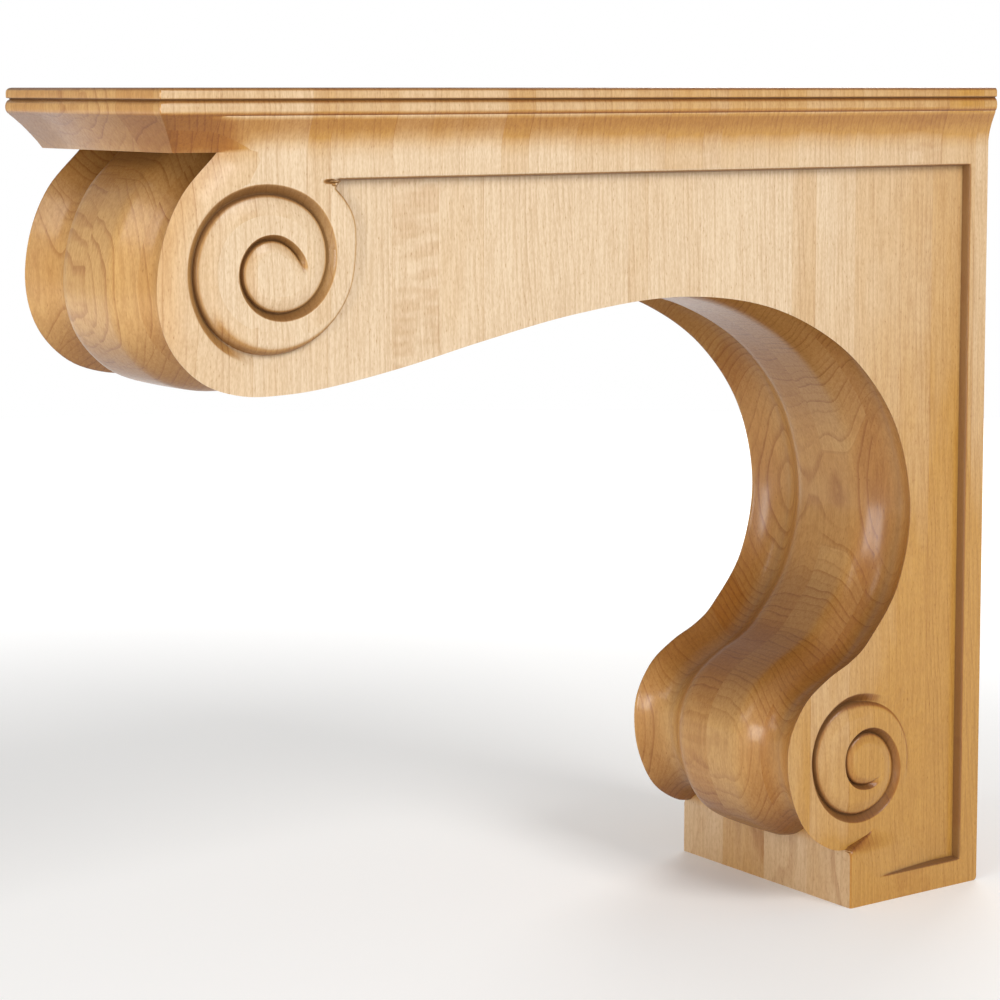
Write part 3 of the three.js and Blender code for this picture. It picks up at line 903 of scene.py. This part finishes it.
def start_group(name, inputs, outputs):
    """A new node group with named sockets; gives it, its inputs and its outputs."""
    group = bpy.data.node_groups.new(name, "ShaderNodeTree")
    for label, kind in inputs:
        group.interface.new_socket(name=label, in_out="INPUT", socket_type="NodeSocket" + kind)
    for label, kind in outputs:
        group.interface.new_socket(name=label, in_out="OUTPUT", socket_type="NodeSocket" + kind)
    entry = group.nodes.new("NodeGroupInput")
    result = group.nodes.new("NodeGroupOutput")
    return group, entry.outputs, result.inputs


def grain_noise(tree, place, across, along, detail):
    """Soft noise, with so many waves per metre across the grain and up along it."""
    scaled = node(tree, "ShaderNodeMapping", {"Vector": place, "Scale": (across, across, along)})
    inputs = {"Vector": scaled.outputs[0], "Scale": 1.0, "Detail": detail}
    return node(tree, "ShaderNodeTexNoise", inputs).outputs[0]


# %% [markdown]
# The blank is glued from four layers side by side, with a thin strip more for each side of the
# crown, and each layer is glued from boards of 15 to 53 mm. A colour ramp with steps holds one
# layer's boards, from the front to the wall: its red is the board's tone, its green how much it
# ripples and its blue where the heart of its log lay. The other layers read the same ramp further
# on, so that no two layers have their joints at one place. The ramp is read a second time a little
# further on: where the two differ there is a joint.

# %% The boards, as where each starts in millimetres, its tone, its curl and its heart
LAYER_WIDTH = 0.0393
LAYER_SHIFT = 0.37
ABOVE_ZERO = 3.0
JOINT_WIDTH = 0.0007
HEART_STEP = 0.01
BOARDS = [
    (-571.5, 0.08, 0.0, 0.3), (-549, 0.18, 0.0, 0.75), (-514, 0.36, 0.0, 0.45), (-470, 0.52, 0.0, 0.9),
    (-429.5, 0.62, 0.95, 0.2), (-401, 0.40, 0.0, 0.6), (-371, 0.68, 0.0, 0.15), (-327, 0.74, 0.0, 0.8),
    (-274.5, 0.30, 0.1, 0.35), (-260, 0.46, 0.0, 0.7), (-222, 0.66, 0.0, 0.1), (-191, 0.70, 0.0, 0.55),
    (-152, 0.22, 0.1, 0.95), (-135, 0.56, 0.0, 0.25), (-103, 0.34, 0.0, 0.65), (-65, 0.28, 0.25, 0.4),
    (-41.5, 0.05, 0.1, 0.85), (-15.4, 0.30, 0.8, 0.5),
]


def board_ramp(tree, along):
    """Tone, curl and heart of the board at a share of the way from the front to the wall."""
    ramp = node(tree, "ShaderNodeValToRGB", {0: along})
    ramp.color_ramp.interpolation = "CONSTANT"
    stops = ramp.color_ramp.elements
    for index, (seam, tone, curliness, heart) in enumerate(BOARDS):
        stop = stops[index] if index < 1 else stops.new((seam + PROJECTION) / PROJECTION)
        stop.color = (tone, curliness, heart, 1)
    while len(stops) > len(BOARDS):
        stops.remove(stops[-1])
    parts = node(tree, "ShaderNodeSeparateColor", {0: ramp.outputs["Color"]}).outputs
    return parts["Red"], parts["Green"], parts["Blue"]


# %% The group of the glued boards
boards, entry, result = start_group(
    "glued_boards",
    [("Place", "Vector")],
    [("Tone", "Float"), ("Curl", "Float"), ("Heart", "Float"), ("Joint", "Float")],
)
split = node(boards, "ShaderNodeSeparateXYZ", {0: entry["Place"]})
layer = maths(boards, "FLOOR", maths(boards, "DIVIDE", split.outputs["X"], LAYER_WIDTH))
length = PROJECTION * MM
from_front = maths(boards, "DIVIDE", maths(boards, "ADD", split.outputs["Y"], length), length)
layer_shift = maths(boards, "MULTIPLY", maths(boards, "SUBTRACT", layer, 1), LAYER_SHIFT)
shifted = maths(boards, "ADD", from_front, layer_shift)
along_ramp = maths(boards, "FRACT", maths(boards, "ADD", shifted, ABOVE_ZERO))
tone, curliness, heart = board_ramp(boards, along_ramp)
heart_ahead = board_ramp(boards, maths(boards, "ADD", along_ramp, JOINT_WIDTH))[2]
apart = maths(boards, "ABSOLUTE", maths(boards, "SUBTRACT", heart, heart_ahead))
boards.links.new(tone, result["Tone"])
boards.links.new(curliness, result["Curl"])
boards.links.new(heart, result["Heart"])
boards.links.new(maths(boards, "GREATER_THAN", apart, HEART_STEP), result["Joint"])
print("glued boards", len(BOARDS), "in each layer")

# %% [markdown]
# Rings are shells round the heart of the log. Each board has its own heart, far in front of it.
# The distance to it, bent a little by soft noise, is cut into years. A year ends in a thin darker
# line, and some years are darker than others.

# %% The growth rings
HEART_IN_FRONT = 0.78
HEART_SPREAD = 0.24
HEART_ASIDE = 0.09
LOG_LEAN = 0.05
FINE_WANDER = 0.0022
HEART_SHUFFLE = 40.0
rings, entry, result = start_group(
    "growth_rings",
    [("Place", "Vector"), ("Heart", "Float"), ("Year", "Float"), ("Wander", "Float")],
    [("Line", "Float"), ("Band", "Float")],
)
bend = grain_noise(rings, entry["Place"], 16, 5, 2.0)
fine_bend = grain_noise(rings, entry["Place"], 80, 30, 1.0)
split = node(rings, "ShaderNodeSeparateXYZ", {0: entry["Place"]})
aside = maths(rings, "MULTIPLY", maths(rings, "SUBTRACT", entry["Heart"], 0.5), HEART_ASIDE)
from_heart_x = maths(rings, "SUBTRACT", split.outputs["X"], aside)
in_front = maths(rings, "MULTIPLY_ADD", entry["Heart"], HEART_SPREAD, HEART_IN_FRONT)
lean = maths(rings, "MULTIPLY", split.outputs["Z"], LOG_LEAN)
from_heart_y = maths(rings, "ADD", maths(rings, "ADD", split.outputs["Y"], in_front), lean)
x_squared = maths(rings, "POWER", from_heart_x, 2.0)
y_squared = maths(rings, "POWER", from_heart_y, 2.0)
reach = maths(rings, "SQRT", maths(rings, "ADD", x_squared, y_squared))
off_bend = maths(rings, "SUBTRACT", bend, 0.5)
bent = maths(rings, "MULTIPLY_ADD", off_bend, entry["Wander"], reach)
off_fine_bend = maths(rings, "SUBTRACT", fine_bend, 0.5)
bent = maths(rings, "MULTIPLY_ADD", off_fine_bend, FINE_WANDER, bent)
years = maths(rings, "DIVIDE", bent, entry["Year"])
shuffle = maths(rings, "MULTIPLY", entry["Heart"], HEART_SHUFFLE)
number = maths(rings, "FLOOR", maths(rings, "ADD", years, shuffle))
season = maths(rings, "FRACT", years)
chance = node(rings, "ShaderNodeTexWhiteNoise", {"W": number}, noise_dimensions="1D")
darkening = between(rings, season, 0.62, 0.94)
ending = between(rings, season, 1.0, 0.95)
strength = between(rings, chance.outputs[0], 0.1, 1.0, 0.25, 1.0)
late = maths(rings, "MULTIPLY", darkening, ending)
rings.links.new(maths(rings, "MULTIPLY", late, strength), result["Line"])
rings.links.new(maths(rings, "MULTIPLY", season, chance.outputs[0]), result["Band"])
print("growth rings ready")

# %% [markdown]
# Fibres are streaks much longer than wide; the flecks are short and darker. The ripple, which makers
# call curl, is light and dark bars across the grain, where the fibres lean in and out.

# %% Fibres, flecks and curl
fibres, entry, result = start_group(
    "fibres", [("Place", "Vector")], [("Streak", "Float"), ("Fleck", "Float"), ("Cloud", "Float")],
)
SPECK_PART = 0.45
streak = grain_noise(fibres, entry["Place"], 520, 30, 3.0)
speck = grain_noise(fibres, entry["Place"], 1300, 380, 1.0)
cloud = grain_noise(fibres, entry["Place"], 55, 14, 3.0)
streak_part = maths(fibres, "MULTIPLY", streak, 1 - SPECK_PART)
mottle = maths(fibres, "MULTIPLY_ADD", speck, SPECK_PART, streak_part)
fibres.links.new(between(fibres, mottle, 0.34, 0.66), result["Streak"])
fibres.links.new(between(fibres, speck, 0.7, 0.8), result["Fleck"])
fibres.links.new(between(fibres, cloud, 0.3, 0.7), result["Cloud"])

curl, entry, result = start_group("curl", [("Place", "Vector")], [("Ripple", "Float")])
wave = grain_noise(curl, entry["Place"], 45, 170, 1.0)
curl.links.new(between(curl, wave, 0.36, 0.64), result["Ripple"])
print("node groups", [group.name for group in bpy.data.node_groups])

# %% [markdown]
# ## The finish
# The corbel is stained lightly with a honey colour and glazed. The wood is palest on the flat side
# near the top, and warmer on the crown, towards the wall and towards the foot; where the crown's cove
# turns down it is darker still, as painted shade. Where the cut crosses the fibres, under the arm and
# in the arch, the ends drink more stain and go darker, and this darkening is partly painted shade too.
# Dark glazing and painted shade lie in the grooves, and a thin clear satin coat lies over everything.

# %% Colours of the maple
PALE = (0.75, 0.585, 0.40, 1)
HONEY = (0.54, 0.285, 0.06, 1)
# Darkens the carved face: partly stain, partly painted shade.
FACE_STAIN_AND_SHADE_TINT = (0.84, 0.63, 0.325, 1)
# Darkens faces turned up or down: partly end grain, partly painted shade.
END_GRAIN_AND_SHADE_TINT = (0.43, 0.325, 0.19, 1)
RING_TINT = (0.66, 0.48, 0.33, 1)
STREAK_TINT = (0.84, 0.78, 0.71, 1)
FLECK_TINT = (0.78, 0.66, 0.54, 1)
CURL_TINT = (0.90, 0.84, 0.78, 1)
# Dark brown for glazing and for painted shade in the grooves, steps and quirk.
GLAZE_AND_SHADE_COLOUR = (0.20, 0.098, 0.036, 1)
JOINT_TINT = (0.82, 0.72, 0.60, 1)

# %% The maple and its groups
YEAR_WIDTH = 0.0034
RING_WANDER = 0.020
maple = bpy.data.materials.new("maple")
maple.use_nodes = True
wood = maple.node_tree
shader = wood.nodes["Principled BSDF"]
coordinates = node(wood, "ShaderNodeTexCoord")
place_socket = coordinates.outputs["Object"]
board_node = node(wood, "ShaderNodeGroup", {"Place": place_socket}, node_tree=boards)
fibre_node = node(wood, "ShaderNodeGroup", {"Place": place_socket}, node_tree=fibres)
curl_node = node(wood, "ShaderNodeGroup", {"Place": place_socket}, node_tree=curl)
ring_inputs = {
    "Place": place_socket, "Heart": board_node.outputs["Heart"], "Year": YEAR_WIDTH, "Wander": RING_WANDER,
}
ring_node = node(wood, "ShaderNodeGroup", ring_inputs, node_tree=rings)
print("maple reads", [made.node_tree.name for made in (board_node, fibre_node, curl_node, ring_node)])

# %% Zones of warmth: from and to in metres, then the share at first and at last
NEAR_WALL = (-0.2, 0.0, 0.0, 0.4)
LOW_DOWN = (0.17, -0.03, 0.0, 0.42)
BEHIND_ARCH = (-0.28, -0.12)
LOW_PART = (0.02, -0.2, 0.0, 0.28)
FOOT = (-0.19, -0.225, 0.0, 0.42)
LOW_WALL_HEIGHT = (0.02, -0.15, 0.0, 0.38)
LOW_WALL_DEPTH = (-0.075, -0.04)
CROWN = (0.206, 0.219, 0.0, 0.5)
STILE = (-0.018, -0.014, 0.0, 0.4)
STILE_HEIGHT = (0.1, -0.15)

# %% Where the wood is warm, and painted shade where the crown's cove turns down
split = node(wood, "ShaderNodeSeparateXYZ", {0: place_socket})
facing = node(wood, "ShaderNodeSeparateXYZ", {0: coordinates.outputs["Normal"]})
depth, height = split.outputs["Y"], split.outputs["Z"]
behind_arch = between(wood, depth, *BEHIND_ARCH)
low_down = maths(wood, "MULTIPLY", between(wood, height, *LOW_DOWN), behind_arch)
foot_warmth = maths(wood, "ADD", between(wood, height, *LOW_PART), between(wood, height, *FOOT))
low_depth = between(wood, depth, *LOW_WALL_DEPTH)
low_wall = maths(wood, "MULTIPLY", between(wood, height, *LOW_WALL_HEIGHT), low_depth)
crown_warmth = between(wood, height, *CROWN)
# Where the crown's cove turns down it is made warmer and darker still: painted shade.
turned_down_shade = between(wood, facing.outputs["Z"], -0.08, -0.4)
cove_warmth_and_shade = maths(wood, "MULTIPLY_ADD", turned_down_shade, crown_warmth, crown_warmth)
warm = maths(wood, "ADD", between(wood, depth, *NEAR_WALL), low_down)
warm = maths(wood, "ADD", warm, foot_warmth)
warm = maths(wood, "ADD", maths(wood, "ADD", warm, cove_warmth_and_shade), low_wall)
on_stile = between(wood, depth, *STILE)
warm = maths(wood, "MULTIPLY_ADD", on_stile, between(wood, height, *STILE_HEIGHT), warm)

# %% Where the cut crosses the grain
FOOT_TOP = (-0.206, -0.213, 0.0, 0.8)
sideways = maths(wood, "ABSOLUTE", facing.outputs["X"])
crossing = between(wood, sideways, 0.985, 0.84)
on_front = between(wood, facing.outputs["Y"], -0.3, -0.8)
on_foot = maths(wood, "MULTIPLY", between(wood, height, *FOOT_TOP), on_front)
# The carved face, not the foot's front, is darkened: partly stain, partly painted shade.
face_stain_and_shade_share = maths(wood, "MULTIPLY", crossing, maths(wood, "SUBTRACT", 1.0, on_foot))
# Faces turned up or down, as under the arm, are darkened: partly end grain, partly painted shade.
end_grain_and_shade = between(wood, maths(wood, "ABSOLUTE", facing.outputs["Z"]), 0.12, 0.95)

# %% Each board's own warmth, and soft clouds of it
FACE_WARMTH = 0.36
BOARD_CONTRAST = 0.62
CLOUD_CONTRAST = 0.14
warm = maths(wood, "MULTIPLY", warm, between(wood, sideways, 0.2, 0.8, FACE_WARMTH, 1.0))
off_tone = maths(wood, "SUBTRACT", 0.5, board_node.outputs["Tone"])
board_warmth = maths(wood, "MULTIPLY_ADD", off_tone, BOARD_CONTRAST, warm)
off_cloud = maths(wood, "SUBTRACT", fibre_node.outputs["Cloud"], 0.5)
warmth = maths(wood, "MULTIPLY_ADD", off_cloud, CLOUD_CONTRAST, board_warmth)

# %% Mix the colours
RING_ON_SIDE = 0.26
RING_ON_CUT = 0.6
BAND_STRENGTH = 0.4
JOINT_STRENGTH = 0.7
GLAZE_AND_SHADE_STRENGTH = 0.82
colour = mixed(wood, warmth, PALE, HONEY)
# Painted shade in part: the carved face is darkened.
colour = mixed(wood, face_stain_and_shade_share, colour, FACE_STAIN_AND_SHADE_TINT, "MULTIPLY")
# Painted shade in part: faces turned up or down are darkened.
colour = mixed(wood, end_grain_and_shade, colour, END_GRAIN_AND_SHADE_TINT, "MULTIPLY")
ring_strength = between(wood, crossing, 0.0, 1.0, RING_ON_SIDE, RING_ON_CUT)
ring_share = maths(wood, "MULTIPLY", ring_node.outputs["Line"], ring_strength)
colour = mixed(wood, ring_share, colour, RING_TINT, "MULTIPLY")
band_share = maths(wood, "MULTIPLY", ring_node.outputs["Band"], BAND_STRENGTH)
colour = mixed(wood, band_share, colour, STREAK_TINT, "MULTIPLY")
colour = mixed(wood, fibre_node.outputs["Streak"], colour, STREAK_TINT, "MULTIPLY")
colour = mixed(wood, fibre_node.outputs["Fleck"], colour, FLECK_TINT, "MULTIPLY")
rippled = maths(wood, "MULTIPLY", curl_node.outputs["Ripple"], board_node.outputs["Curl"])
colour = mixed(wood, rippled, colour, CURL_TINT, "MULTIPLY")
joint_share = maths(wood, "MULTIPLY", board_node.outputs["Joint"], JOINT_STRENGTH)
colour = mixed(wood, joint_share, colour, JOINT_TINT, "MULTIPLY")
# Dark glazing and painted shade, read from the mesh's attribute.
glaze_and_shade_read = node(wood, "ShaderNodeAttribute", attribute_name="glaze_and_shade").outputs["Fac"]
glaze_and_shade_share = maths(wood, "MULTIPLY", glaze_and_shade_read, GLAZE_AND_SHADE_STRENGTH)
colour = mixed(wood, glaze_and_shade_share, colour, GLAZE_AND_SHADE_COLOUR)
wood.links.new(colour, shader.inputs["Base Color"])

# %% Sheen and the feel of the fibres
SATIN = 0.36
CLEAR_COAT = 0.45
COAT_ROUGHNESS = 0.2
BASE_GLOSS = 0.25
FIBRE_ROUGHNESS = 0.07
GLAZE_ROUGHNESS = 0.25
FIBRE_RELIEF = 0.00006
RELIEF_STRENGTH = 0.5
shader.inputs["Specular IOR Level"].default_value = BASE_GLOSS
shader.inputs["Coat Weight"].default_value = CLEAR_COAT
shader.inputs["Coat Roughness"].default_value = COAT_ROUGHNESS
fibre_streak = fibre_node.outputs["Streak"]
roughness = maths(wood, "MULTIPLY_ADD", fibre_streak, FIBRE_ROUGHNESS, SATIN)
roughness = maths(wood, "MULTIPLY_ADD", glaze_and_shade_read, GLAZE_ROUGHNESS, roughness)
wood.links.new(roughness, shader.inputs["Roughness"])
bump_inputs = {"Strength": RELIEF_STRENGTH, "Distance": FIBRE_RELIEF, "Height": fibre_streak}
bump = node(wood, "ShaderNodeBump", bump_inputs)
wood.links.new(bump.outputs["Normal"], shader.inputs["Normal"])
corbel.data.materials.append(maple)
print("maple has", len(wood.nodes), "nodes")

# %% [markdown]
# ## The camera
# The photograph is a product view from the front and the right, taken level with the crown, with a
# long lens. The crown's long edges stay level in it. A lens shifted down by nearly half a frame would
# give exactly that, but the shift stays when the camera is turned to other sides, and would push the
# corbel out of them. So the camera is tilted a little and shifted a little. Its place, heading, tilt
# and lens were fitted to the corners of the crown, the foot and the wall edge.

# %% Camera
CAMERA_PLACE = (1.2738, -1.2230, 0.2458)
CAMERA_HEADING = math.radians(54.303)
CAMERA_TILT = math.radians(5.436)
FOCAL_SHARE = 2.7732
LENS_SHIFT = -0.15
SENSOR = 36.0
camera_data = bpy.data.cameras.new("camera")
camera_data.sensor_width = SENSOR
camera_data.lens = SENSOR * FOCAL_SHARE
camera_data.shift_y = LENS_SHIFT
camera = bpy.data.objects.new("camera", camera_data)
camera.location = CAMERA_PLACE
camera.rotation_euler = (math.radians(90) - CAMERA_TILT, 0, CAMERA_HEADING)
bpy.context.scene.collection.objects.link(camera)
bpy.context.scene.camera = camera
print("camera lens", round(camera_data.lens, 1), "mm")

# %% [markdown]
# ## Floor and light
# A product studio: a round sheet of white paper that glows softly, more towards its rim, in a
# white room. One big soft light stands high on the side, so that the flat side is bright and the
# walls of the grooves that face down or forwards fall into shade. A second one in front lights the
# scrolls' faces. A tall narrow one, further to the front than the camera, draws the bright streaks
# on the coves of the arch, and one behind keeps the back readable. The room is white where the
# camera sees it but lights the corbel less than that, so that the shades stay.

# %% Floor
FLOOR_RADIUS = 2.6
PAPER = 0.9
RIM_GLOW = 0.6
FLOOR_GLOW = 0.07
GLOW_START = 0.4
GLOW_FULL = 1.7
PAPER_ROUGHNESS = 0.8
FLOOR_SIDES = 96
floor_mesh = bpy.data.meshes.new("floor")
ground = bmesh.new()
bmesh.ops.create_circle(ground, cap_ends=True, segments=FLOOR_SIDES, radius=FLOOR_RADIUS)
bmesh.ops.translate(ground, vec=(0, -PROJECTION * MM / 2, cad_low[2]), verts=ground.verts)
ground.to_mesh(floor_mesh)
ground.free()
floor = bpy.data.objects.new("floor", floor_mesh)
bpy.context.scene.collection.objects.link(floor)
print("floor lies at", round(cad_low[2], 3), "m")

# %% Paper of the floor
floor_paint = bpy.data.materials.new("pale_floor")
floor_paint.use_nodes = True
paper = floor_paint.node_tree
floor_shader = paper.nodes["Principled BSDF"]
floor_shader.inputs["Base Color"].default_value = (PAPER, PAPER, PAPER, 1)
floor_shader.inputs["Roughness"].default_value = PAPER_ROUGHNESS
floor_place = node(paper, "ShaderNodeTexCoord").outputs["Object"]
to_middle = (0, PROJECTION * MM / 2, -cad_low[2])
centred = node(paper, "ShaderNodeMapping", {"Vector": floor_place, "Location": to_middle}).outputs[0]
outward = node(paper, "ShaderNodeVectorMath", {0: centred}, operation="LENGTH").outputs["Value"]
glow = between(paper, outward, GLOW_START, GLOW_FULL, FLOOR_GLOW, RIM_GLOW)
paper.links.new(glow, floor_shader.inputs["Emission Strength"])
floor_shader.inputs["Emission Color"].default_value = (1, 1, 1, 1)
floor_mesh.materials.append(floor_paint)

# %% Lights
TARGET = Vector((0, -0.3, 0.02))
SIDE_WHITE = (1.0, 0.985, 0.96)
LAMP_WHITE = (1.0, 0.99, 0.97)


def soft_light(name, place, size, power, tint):
    """A soft area light that looks at the corbel."""
    data = bpy.data.lights.new(name, "AREA")
    data.shape = "RECTANGLE"
    data.size, data.size_y = size
    data.energy = power
    data.color = tint
    light = bpy.data.objects.new(name, data)
    light.location = place
    light.rotation_euler = (TARGET - Vector(place)).to_track_quat("-Z", "Y").to_euler()
    bpy.context.scene.collection.objects.link(light)


soft_light("side_light", (2.3, 0.05, 1.75), (1.3, 1.3), 42, SIDE_WHITE)
soft_light("front_light", (0.1, -2.7, 1.5), (1.4, 1.0), 17, LAMP_WHITE)
soft_light("streak_light", (0.95, -2.15, 0.17), (0.2, 0.85), 10, LAMP_WHITE)
soft_light("back_light", (-1.4, 1.6, 1.1), (1.2, 1.2), 16, LAMP_WHITE)
print("lights", [light.name for light in bpy.data.lights])

# %% The white room
ROOM_LIGHT = 0.42
ROOM_SEEN = 1.0
world = bpy.data.worlds.new("room")
bpy.context.scene.world = world
world.use_nodes = True
room = world.node_tree.nodes["Background"]
room.inputs["Color"].default_value = (1, 1, 1, 1)
seen = node(world.node_tree, "ShaderNodeLightPath").outputs["Is Camera Ray"]
strength = node(world.node_tree, "ShaderNodeMapRange", {0: seen, 3: ROOM_LIGHT, 4: ROOM_SEEN})
world.node_tree.links.new(strength.outputs[0], room.inputs["Strength"])
bpy.context.scene.view_settings.view_transform = "Standard"
print("room lights at", ROOM_LIGHT, "and is seen at", ROOM_SEEN)
